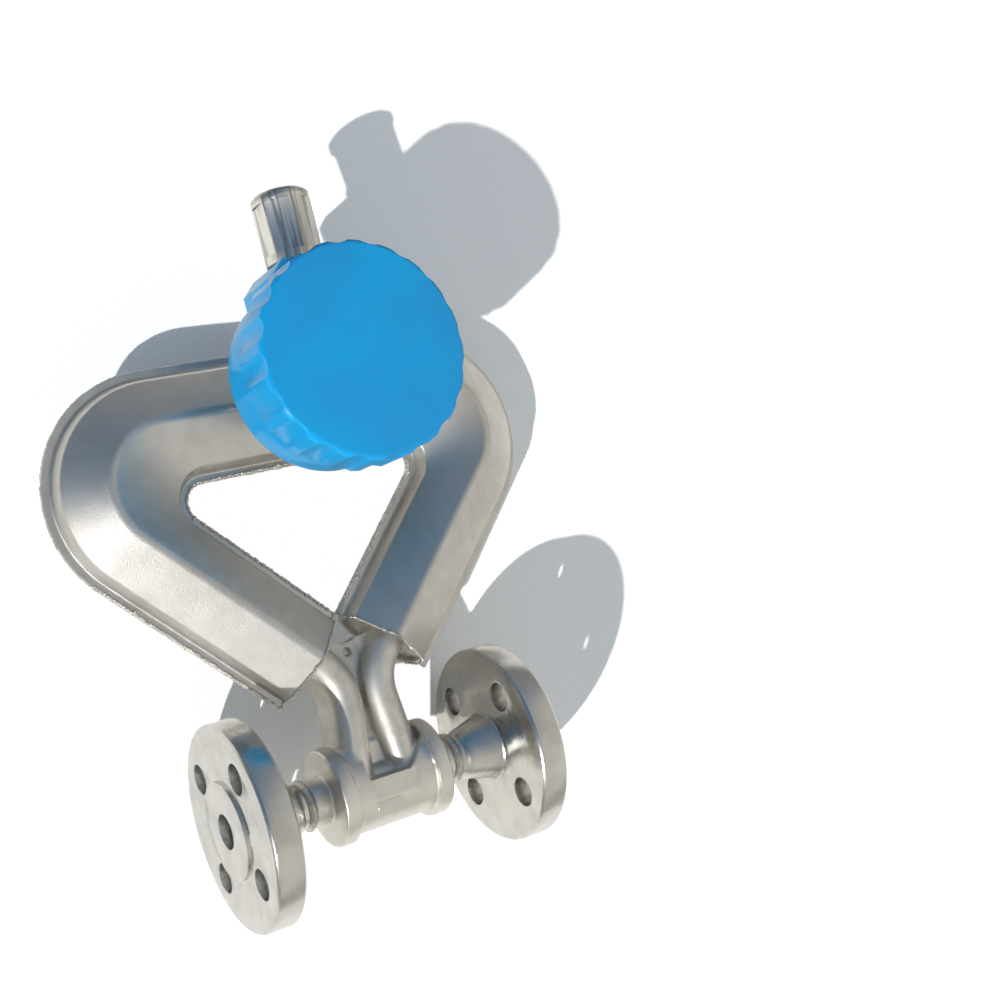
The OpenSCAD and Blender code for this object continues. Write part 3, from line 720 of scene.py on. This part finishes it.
def ripples(name, points, material, bead, closed=False):
    """A weld of beads along a line of points."""
    mesh = bpy.data.meshes.new(name)
    last = len(points) - 1
    edges = [(k, k + 1) for k in range(last)] + ([(last, 0)] if closed else [])
    mesh.from_pydata(points, edges, [])
    piece = link(name, mesh)
    tree = bpy.data.node_groups.get("weld_ripples") or ripple_tree()
    nodes = piece.modifiers.new("ripples", "NODES")
    nodes.node_group = tree
    wanted = {
        "Spacing": bead.spacing * MM,
        "Radius": bead.radius * MM,
        "Stretch": bead.stretch,
        "Uneven": bead.uneven,
        "Stray": bead.stray * MM,
        "Finish": material,
    }
    for item in tree.interface.items_tree:
        if item.in_out == "INPUT" and item.name in wanted:
            nodes[item.identifier] = wanted[item.name]
    return settle(piece)


def lay(piece, points, material, bead):
    """Adds a weld along a line of points to a piece."""
    weld = ripples("weld", points, material, bead)
    join_into(piece, weld.data)
    bpy.data.objects.remove(weld)


# ---------------------------------------------------------------- settings
def a_length(name, description, size_mm):
    return FloatProperty(name=name, description=description, unit="LENGTH", default=size_mm * MM)


def an_angle(name, description, degrees):
    turn = math.radians(degrees)
    return FloatProperty(name=name, description=description, subtype="ANGLE", default=turn)


def a_direction(name, description, default):
    return FloatVectorProperty(name=name, description=description, subtype="XYZ", default=default)


def a_tint(name, description, default):
    return FloatVectorProperty(
        name=name, description=description, subtype="COLOR", default=default, min=0.0, max=1.0
    )


def a_roughness(name, default):
    return FloatProperty(
        name=name + " roughness", description="From 0, mirror-bright, to 1, matt",
        subtype="FACTOR", default=default, min=0.0, max=1.0,
    )


def a_strength(name, description, default):
    return FloatProperty(name=name, description=description, default=default, min=0.0)


class MeterShape(bpy.types.PropertyGroup):
    """Sizes of the pressed case, as the solid parts have them"""

    leg_angle: an_angle("Leg angle", "Angle of a leg from upright", 43.5)
    apex_z: a_length("Gap corner height", "Lower corner of the triangle gap", 80.0)
    leg_w: a_length("Leg width", "Width of a leg", 52.0)
    top_z: a_length("Top height", "Height of the case's top edge", 206.0)
    bar_w: a_length("Bar width", "Width of the top bar", 54.0)
    outer_corner_r: a_length("Outer corner", "Radius of an outer corner", 54.4)
    inner_corner_r: a_length("Inner corner", "Radius of an inner corner", 9.0)
    leg_start: a_length("Leg start", "Distance of a leg's end from the gap's corner", 1.0)
    shell_depth: a_length("Shell depth", "Depth of a half shell at its ridge", 21.0)
    bevel_depth: a_length("Bevel depth", "Depth of a half shell at its bevel", 9.0)
    seam_w: a_length("Seam width", "Width of the seam flange", 3.6)
    bevel_w: a_length("Bevel width", "Width of the bevel beside the seam", 2.4)
    sheet_t: a_length("Sheet", "Thickness of the sheet", 1.5)
    corner_steps: IntProperty(
        name="Corner steps", description="Steps round a corner", default=36, min=8
    )


class MeterFinish(bpy.types.PropertyGroup):
    """Colours and roughness of the main finishes"""

    steel: a_tint("Steel", "Turned stainless steel", (0.58, 0.57, 0.54))
    steel_rough: a_roughness("Steel", 0.26)
    sheet: a_tint("Sheet", "Pressed stainless sheet", (0.61, 0.595, 0.565))
    sheet_rough: a_roughness("Sheet", 0.4)
    casting: a_tint("Casting", "Blasted casting", (0.69, 0.665, 0.615))
    casting_rough: a_roughness("Casting", 0.54)
    adapter: a_tint("Adapter", "Drawn bar of the conduit adapter", (0.71, 0.69, 0.635))
    adapter_rough: a_roughness("Adapter", 0.35)
    cover: a_tint("Cover", "Powder coat of the cover", (0.003, 0.29, 0.61))
    cover_shade: a_tint("Cover shade", "Darker patches of the cover", (0.008, 0.25, 0.55))


class MeterStage(bpy.types.PropertyGroup):
    """Camera, floor and lamps"""

    lens: FloatProperty(
        name="Lens", description="Focal length on a 36 mm sensor", unit="CAMERA", default=51.46
    )
    place: FloatVectorProperty(
        name="Camera place", description="From the middle of the flow axis",
        subtype="TRANSLATION", unit="LENGTH", default=(-0.2753, -0.6062, 0.0838),
    )
    ahead: a_direction("Camera direction", "The way the camera looks", (0.4913, 0.8709, 0.0109))
    right: a_direction("Camera right", "The camera's right side", (0.8446, -0.4733, -0.2504))
    shift: FloatVectorProperty(
        name="Shift", description="Sideways and upward shift of the picture", size=2,
        default=(0.05, 0.06),
    )
    floor_normal: a_direction("Floor normal", "Away from the object", (0.0854, 0.9849, 0.1509))
    floor_gap: a_length("Floor distance", "From the middle of the flow axis", 57.0)
    sunbeam: a_direction("Sunbeam", "The way the sunlight travels", (0.7403, 0.5105, 0.4374))
    sun_width: an_angle("Sun width", "Angle across the sun, which softens its shadows", 0.8)
    sun_colour: a_tint("Sun colour", "Colour of the sunlight", (1.0, 0.98, 0.95))
    haze: a_direction("Haze", "Points to the warm, bright side of the sky", (0.75, -0.1, -0.65))
    sun_strength: a_strength("Sun", "Strength of the sun lamp", 3.9)
    glint_strength: a_strength("Glint", "Strength of the sun in glossy surfaces", 1.85)
    sky_strength: a_strength("Sky", "Strength of the sky", 0.96)


def sheet_finish(finish):
    return shared("sheet_steel", sheet_steel, finish.sheet, finish.sheet_rough)


# ---------------------------------------------------------------- operators
class METER_OT_case(bpy.types.Operator):
    """Builds the two pressed half shells with rounded bends"""

    bl_idname = "meter.case"
    bl_label = "Case"

    def execute(self, context):
        shape, finish = context.scene.meter_shape, context.scene.meter_finish
        outline = Outline(shape)
        outside, inside = shell_section(shape)
        low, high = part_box("junction_stub")
        stub = (MIDDLE, -20.0 * MM, (low.z + high.z) / 2)
        for node, side in (("case_front", -1), ("case_back", 1)):
            lines = [
                [row_point(p, side * depth) for p in outline.line(u)]
                for u, depth in outside + inside
            ]
            name = node + "_pressed"
            piece = link(name, loft(name, lines))
            if side < 0:
                drilled(piece, stub, radius_mm=14.0, length_mm=30.0)
            smooth(piece.data, 40.0)
            seat(piece, node, sheet_finish(finish))
        return {"FINISHED"}


class METER_OT_case_trim(bpy.types.Operator):
    """Lays the seam welds and dresses the end plates and the stub"""

    bl_idname = "meter.case_trim"
    bl_label = "Case welds and plates"

    def execute(self, context):
        shape, finish = context.scene.meter_shape, context.scene.meter_finish
        outline = Outline(shape)
        sheet_t = millimetres(shape.sheet_t)
        metal = shared("weld_metal", weld_metal)
        # The outer seam is ragged along the inlet's leg only, the inner one all round
        for node, edge, inward, end in (
            ("outer_seam_weld", 0.0, 1, RAGGED_POINTS),
            ("inner_seam_weld", outline.leg_w, -1, None),
        ):
            seam = edge + inward * SEAM_IN
            points = [row_point(p, 0) for p in outline.line(seam)]
            piece = ripples(node + "_ripples", points, metal, SEAM_BEAD)
            for step, bead in ((0.6, SPATTER), (0.2, RAGGED_BEAD)):
                line = outline.line(seam + inward * step)[:end]
                lay(piece, [row_point(p, -sheet_t) for p in line], metal, bead)
            seat(piece, node, metal)
        dress("junction_stub", sheet_finish(finish), bevel_mm=0.3)
        outside, _ = shell_section(shape)
        for node, at in (("inlet_end_plate", 0), ("outlet_end_plate", -1)):
            plate = dress(node, sheet_finish(finish), bevel_mm=0.3)
            first = len(plate.data.polygons)
            for side in (-1, 1):
                rim = [row_point(outline.line(u)[at], side * depth) for u, depth in outside[2:-2]]
                lay(plate, rim, metal, END_BEAD)
            for polygon in plate.data.polygons[first:]:
                polygon.material_index = 1
            plate.data.materials.append(metal)
        return {"FINISHED"}


class METER_OT_flanges(bpy.types.Operator):
    """Dresses the flanges and their necks and lays the butt welds"""

    bl_idname = "meter.flanges"
    bl_label = "Flanges"

    def execute(self, context):
        finish = context.scene.meter_finish
        steel = shared("turned_steel", turned_steel, finish.steel, finish.steel_rough)
        metal = shared("weld_metal", weld_metal)
        for node in ("inlet_flange", "outlet_flange", "inlet_hub", "outlet_hub"):
            dress(node, steel, bevel_mm=0.3)
        corners, sink, wobble = 90, 0.7 * MM, 0.2 * MM
        turns = [2 * math.pi * k / corners for k in range(corners)]
        for node in ("inlet_weld", "outlet_weld"):
            low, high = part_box(node)
            x, radius = (low.x + high.x) / 2, high.z - sink
            points = [
                (x + wobble * math.sin(k * 1.7), radius * math.cos(a), radius * math.sin(a))
                for k, a in enumerate(turns)
            ]
            piece = ripples(node + "_ripples", points, metal, BUTT_BEAD, closed=True)
            join_into(piece, merged_copy(node))
            seat(piece, node, metal)
        return {"FINISHED"}


class METER_OT_manifold(bpy.types.Operator):
    """Dresses the manifold casting"""

    bl_idname = "meter.manifold"
    bl_label = "Manifold"

    def execute(self, context):
        finish = context.scene.meter_finish
        piece = link("manifold_cast", merged_copy("manifold"))
        skin = piece.modifiers.new("skin", "REMESH")
        skin.mode = "VOXEL"
        skin.voxel_size = 0.55 * MM
        settle(piece)
        self.fill_corners(piece.data)
        self.sink_mark(piece.data)
        fewer = piece.modifiers.new("fewer", "DECIMATE")
        fewer.ratio = 0.6
        settle(piece)
        smooth(piece.data, 50.0)
        for side in (-1, 1):
            join_into(piece, self.turned_rim(side))
        casting = shared("cast_steel", cast_steel, finish.casting, finish.casting_rough)
        seat(piece, "manifold", casting)
        return {"FINISHED"}

    @staticmethod
    def sink_mark(mesh, depth=1.0, pad_y=-19.3, width=(-11, 2), height=(-12.5, -6.5)):
        """Sinks the rectangular mark in the body's flat front pad. Sizes in millimetres."""
        skin = (-20, -17)
        for vertex in mesh.vertices:
            x, y, z = vertex.co.x / MM - MIDDLE / MM, vertex.co.y / MM, vertex.co.z / MM
            within = zip((x, y, z), (width, skin, height))
            if all(low < value < high for value, (low, high) in within):
                vertex.co.y = (pad_y + depth) * MM

    @staticmethod
    def turned_rim(side, span=56.0, radius=22.83, thick=7.0, steps=160):
        """The crisp rim of one end disc: a lathed ring with small turned chamfers."""
        proud, hidden = 0.03, 3.5
        profile = [
            (-proud, radius - hidden),
            (-proud, radius - 1.1),
            (0.12, radius - 0.55),
            (0.55, radius - 0.12),
            (1.1, radius),
            (thick - 0.5, radius),
            (thick - 0.12, radius - 0.12),
            (thick + proud, radius - 0.5),
            (thick + proud, radius - hidden),
        ]
        points = []
        for k in range(steps):
            turn = 2 * math.pi * k / steps
            for depth, r in profile:
                x = side * (span / 2 - depth)
                points.append((MIDDLE + x * MM, r * math.cos(turn) * MM, r * math.sin(turn) * MM))
        n = len(profile)
        faces = []
        for k in range(steps):
            row, following = k * n, (k + 1) % steps * n
            for j in range(n):
                i = (j + 1) % n
                faces.append((row + j, row + i, following + i, following + j))
        return mesh_from("rim", points, faces)

    @staticmethod
    def fill_corners(mesh, steps=60, fill=0.8, slide=0.25, calm=0.02):
        """Moves the skin outward where it is hollow, so that inner corners become fillets.
        The turned body keeps its shape, and its skin is only calmed."""
        body_r, above = 19.5 * MM, 3.0 * MM
        count = len(mesh.vertices)
        at = np.empty(count * 3)
        ends = np.empty(len(mesh.edges) * 2, dtype=np.int64)
        mesh.edges.foreach_get("vertices", ends)
        a, b = ends.reshape(-1, 2).T
        number = np.maximum(np.bincount(a, minlength=count) + np.bincount(b, minlength=count), 1)
        mesh.vertices.foreach_get("co", at)
        place = at.reshape(-1, 3)
        axis = np.hypot(place[:, 1], place[:, 2])
        cast = ((axis > body_r) & (place[:, 2] > above))[:, None]
        for _ in range(steps):
            normals = np.empty(count * 3)
            mesh.vertex_normals.foreach_get("vector", normals)
            normals = normals.reshape(-1, 3)
            sums = [
                np.bincount(a, place[b, k], count) + np.bincount(b, place[a, k], count)
                for k in range(3)
            ]
            move = np.stack(sums, 1) / number[:, None] - place
            out = (move * normals).sum(1, keepdims=True)
            tangent = move - out * normals
            place += cast * (np.clip(out, 0, None) * fill * normals + slide * tangent)
            place += ~cast * (calm * move)
            mesh.vertices.foreach_set("co", place.ravel())
            mesh.update()


class METER_OT_junction_box(bpy.types.Operator):
    """Dresses the housing, its cover and the conduit adapter"""

    bl_idname = "meter.junction_box"
    bl_label = "Junction box"

    def execute(self, context):
        finish = context.scene.meter_finish
        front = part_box("cover")[0].y / MM
        paint = finish.cover, finish.cover_shade, front
        cover = shared("cover_coat", powder_coat, *paint)
        body = shared("housing_coat", powder_coat, *paint)
        dress("cover", cover, bevel_mm=0.8, segments=3, angle=22.0)
        dress("junction_body", body, bevel_mm=0.8, segments=3, angle=25.0)
        low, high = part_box("conduit_adapter")
        centre = (low + high) / 2 / MM
        steel = shared(
            "adapter_steel", drawn_bar, finish.adapter, finish.adapter_rough, centre, high.z / MM
        )
        dress("conduit_adapter", steel, bevel_mm=0.35)
        return {"FINISHED"}


class METER_OT_small_parts(bpy.types.Operator):
    """Gives every solid that shows as it is its own finish"""

    bl_idname = "meter.small_parts"
    bl_label = "Small and inner parts"

    RECIPES = {
        "tube_steel": (plain_metal, (0.62, 0.61, 0.6), 0.3, 0.6),
        "winding": (winding,),
        "magnet": (plain_metal, (0.4, 0.4, 0.42), 0.25),
        "sensor_clip": (plain_metal, (0.7, 0.7, 0.71), 0.35),
        "header": (moulded, (0.03, 0.03, 0.035), 0.5),
        "pin_metal": (plain_metal, (0.8, 0.6, 0.25), 0.25),
        "seal_rubber": (moulded, (0.02, 0.02, 0.02), 0.65),
        "screw_steel": (plain_metal, (0.58, 0.58, 0.6), 0.3),
        "board": (moulded, (0.02, 0.12, 0.05), 0.4),
        "terminal_plastic": (moulded, (0.04, 0.04, 0.045), 0.45),
        "washer_brass": (plain_metal, (0.78, 0.55, 0.2), 0.3),
    }

    def execute(self, context):
        slots = {part["node"]: part["material_slot"] for part in frame["record"]["subparts"]}
        for name, piece in frame["nodes"].items():
            slot = slots[name]
            if slot not in self.RECIPES:
                continue
            if not piece.material_slots:
                raise RuntimeError(f"{name} has no material slot")
            for place in piece.material_slots:
                place.material = shared(slot, *self.RECIPES[slot])
        return {"FINISHED"}


class METER_OT_stage(bpy.types.Operator):
    """Sets the camera, the floor, the sun and the sky"""

    bl_idname = "meter.stage"
    bl_label = "Stage"

    def execute(self, context):
        scene, stage = context.scene, context.scene.meter_stage
        scene.view_settings.view_transform = "Standard"
        middle = Vector((MIDDLE, 0, 0))
        self.camera(scene, stage, middle)
        self.lamps(scene, stage)
        self.floor(stage, middle, Outline(scene.meter_shape))
        self.sky(scene, stage)
        return {"FINISHED"}

    def camera(self, scene, stage, middle):
        camera = bpy.data.objects.new("camera", bpy.data.cameras.new("camera"))
        scene.collection.objects.link(camera)
        ahead = Vector(stage.ahead).normalized()
        right = Vector(stage.right)
        right = (right - ahead * right.dot(ahead)).normalized()
        up = right.cross(ahead)
        turn = Matrix((right, up, -ahead)).transposed().to_4x4()
        camera.matrix_world = Matrix.Translation(Vector(stage.place) + middle) @ turn
        camera.data.lens = stage.lens
        camera.data.sensor_width = 36.0
        camera.data.shift_x, camera.data.shift_y = stage.shift
        camera.data.clip_start, camera.data.clip_end = 0.01, 20.0
        scene.camera = camera

    def lamps(self, scene, stage):
        """One sun for matt surfaces and one, from the same side, for glossy ones."""
        for name, strength in (("sun", stage.sun_strength), ("glint", stage.glint_strength)):
            sun = bpy.data.objects.new(name, bpy.data.lights.new(name, "SUN"))
            scene.collection.objects.link(sun)
            sun.data.energy = strength
            sun.data.angle = stage.sun_width
            sun.data.color = stage.sun_colour
            sun.rotation_mode = "QUATERNION"
            sun.rotation_quaternion = Vector(stage.sunbeam).to_track_quat("-Z", "Y")
            sun.visible_glossy = name == "glint"
            sun.visible_diffuse = name == "sun"

    def floor(self, stage, middle, outline, reach=9.0):
        """A pale floor with a faint weave, which is clear from below."""
        normal = Vector(stage.floor_normal).normalized()
        across = normal.cross(Vector((0, 0, 1))).normalized()
        rise = across.cross(normal).normalized()
        centre = middle + normal * stage.floor_gap
        corners = [
            centre + across * a * reach + rise * b * reach
            for a, b in ((-1, -1), (-1, 1), (1, 1), (1, -1))
        ]
        mesh = bpy.data.meshes.new("floor")
        mesh.from_pydata(corners, [], [(0, 1, 2, 3)])
        if mesh.polygons[0].normal.dot(normal) > 0:
            mesh.flip_normals()
        floor = link("floor", mesh)

        f = Finish("pale_floor")
        seen = f.add("ShaderNodeLightPath", out="Is Camera Ray")
        here = f.place()
        thread_turn = 2.3
        ways = (across + rise, across - rise)
        first, second = [(f.dot(here, way) * thread_turn).function("SINE") for way in ways]
        weave = 1 - f.spread(first * second, 0.1, 0.7) * 0.5
        shown = f.blend(weave, (0.67, 0.70, 0.735), (0.97, 0.995, 1.0))
        beyond = f.spread(f.dot(here, rise), 330.0, 420.0)
        reflected = f.blend(beyond, (0.92, 0.91, 0.88), (0.10, 0.11, 0.12))
        base = f.blend(seen, reflected, shown)
        # Painted light: white over the object's shadow in two patches, seen by camera rays
        painted_light = seen * self.painted_light_patches(f, stage, middle, outline)
        matt = f.add("ShaderNodeBsdfDiffuse", None, {"Color": base})
        white = f.add("ShaderNodeEmission", None, {"Color": colour((1, 1, 1)), "Strength": 1.0})
        upper = f.add("ShaderNodeMixShader", None, [painted_light, matt, white])
        back = f.add("ShaderNodeNewGeometry", out="Backfacing")
        clear = f.add("ShaderNodeBsdfTransparent")
        floor.data.materials.append(
            f.close(f.add("ShaderNodeMixShader", None, [back, upper, clear]))
        )

    def painted_light_patches(self, f, stage, middle, outline):
        """Painted light: the floor shows white, without the object's shadow, in the case's gap and
        beside the outlet neck.
        """
        slack = outline.leg_w * 0.4
        left = outline.inner_c + unit(180 - outline.angle / 2) * (outline.inner_r + slack)
        foot = outline.apex + Vector((-slack, 1))
        gap = [left, (-left.x, left.y), (-foot.x, foot.y), foot]
        beside = [(16, 18), (16, 51), (42.5, 48), (33.5, 17)]
        return self.window(f, stage, middle, gap) + self.window(f, stage, middle, beside)

    def window(self, f, stage, middle, corners, soft=0.5):
        """One where the floor shows inside a polygon of the case's middle plane."""
        normal = Vector(stage.floor_normal).normalized()
        eye = Vector(stage.place) + middle
        level = normal.dot(middle) + stage.floor_gap - normal.dot(eye)
        cast = []
        for p in corners:
            ray = Vector(row_point(Vector(p), 0)) - eye
            cast.append((eye + ray * (level / normal.dot(ray))) / MM)
        centre = sum(cast, Vector()) / len(cast)
        here = f.place()
        mask = 1.0
        for first, second in zip(cast, cast[1:] + cast[:1]):
            inward = normal.cross(second - first).normalized()
            if inward.dot(centre - first) < 0:
                inward.negate()
            mask = f.spread(f.dot(here, inward) - first.dot(inward), -soft, soft) * mask
        return mask

    def sky(self, scene, stage):
        """A soft sky, blue on one side and warm on the other, that the camera sees as white."""
        scene.world = bpy.data.worlds.new("sky")
        scene.world.use_nodes = True
        f = NodeTree(scene.world.node_tree)
        direction = f.add("ShaderNodeTexCoord", out="Generated")
        height = f.dot(direction, -Vector(stage.floor_normal).normalized())
        side = f.dot(direction, Vector(stage.haze).normalized())
        clouds = f.noise(direction, scale=2.2, detail=3.0, rough=0.55)
        stops = [
            (0.0, (0.07, 0.15, 0.28)),
            (0.22, (0.13, 0.23, 0.38)),
            (0.42, (0.28, 0.34, 0.42)),
            (0.62, (0.66, 0.65, 0.62)),
            (1.0, (0.98, 0.95, 0.88)),
        ]
        along = side * 0.5 + 0.5 + (clouds - 0.5) * 0.22
        tint = f.add("ShaderNodeValToRGB", {"stops": stops}, [along])
        dark = f.spread((height - 0.2).function("ABSOLUTE"), 0.03, 0.1, to_low=0.35, to_high=0.0)
        tint = f.blend(dark * f.spread(clouds, 0.4, 0.6), tint, (0.10, 0.10, 0.10))
        low = f.spread(height, 0.1, 0.42, to_low=1.0, to_high=0.0)
        tint = f.blend(low * 0.9, tint, (0.36, 0.35, 0.335))
        light = {"Color": tint, "Strength": stage.sky_strength}
        white = {"Color": colour((1, 1, 1)), "Strength": 1.0}
        shaders = [f.add("ShaderNodeBackground", None, inputs) for inputs in (light, white)]
        seen = f.add("ShaderNodeLightPath", out="Is Camera Ray")
        f.end("ShaderNodeOutputWorld", f.add("ShaderNodeMixShader", None, [seen, *shaders]))


class METER_PT_panel(bpy.types.Panel):
    """Lists the settings and the steps that dress the flow meter"""

    bl_label = "Flow meter"
    bl_idname = "METER_PT_panel"
    bl_space_type = "VIEW_3D"
    bl_region_type = "UI"
    bl_category = "Flow meter"

    def draw(self, context):
        scene = context.scene
        for group in (scene.meter_shape, scene.meter_finish, scene.meter_stage):
            box = self.layout.box()
            for name in type(group).__annotations__:
                box.prop(group, name)
        for operator in OPERATORS:
            self.layout.operator(operator.bl_idname)


GROUPS = (MeterShape, MeterFinish, MeterStage)
OPERATORS = (
    METER_OT_case,
    METER_OT_case_trim,
    METER_OT_flanges,
    METER_OT_manifold,
    METER_OT_junction_box,
    METER_OT_small_parts,
    METER_OT_stage,
)


def register():
    for item in (*GROUPS, *OPERATORS, METER_PT_panel):
        bpy.utils.register_class(item)
    bpy.types.Scene.meter_shape = PointerProperty(type=MeterShape)
    bpy.types.Scene.meter_finish = PointerProperty(type=MeterFinish)
    bpy.types.Scene.meter_stage = PointerProperty(type=MeterStage)


def unregister():
    del bpy.types.Scene.meter_shape
    del bpy.types.Scene.meter_finish
    del bpy.types.Scene.meter_stage
    for item in reversed((*GROUPS, *OPERATORS, METER_PT_panel)):
        bpy.utils.unregister_class(item)


def main():
    register()
    bpy.ops.meter.case()
    bpy.ops.meter.case_trim()
    bpy.ops.meter.flanges()
    bpy.ops.meter.manifold()
    bpy.ops.meter.junction_box()
    bpy.ops.meter.small_parts()
    bpy.ops.meter.stage()


if __name__ == "__main__":
    main()
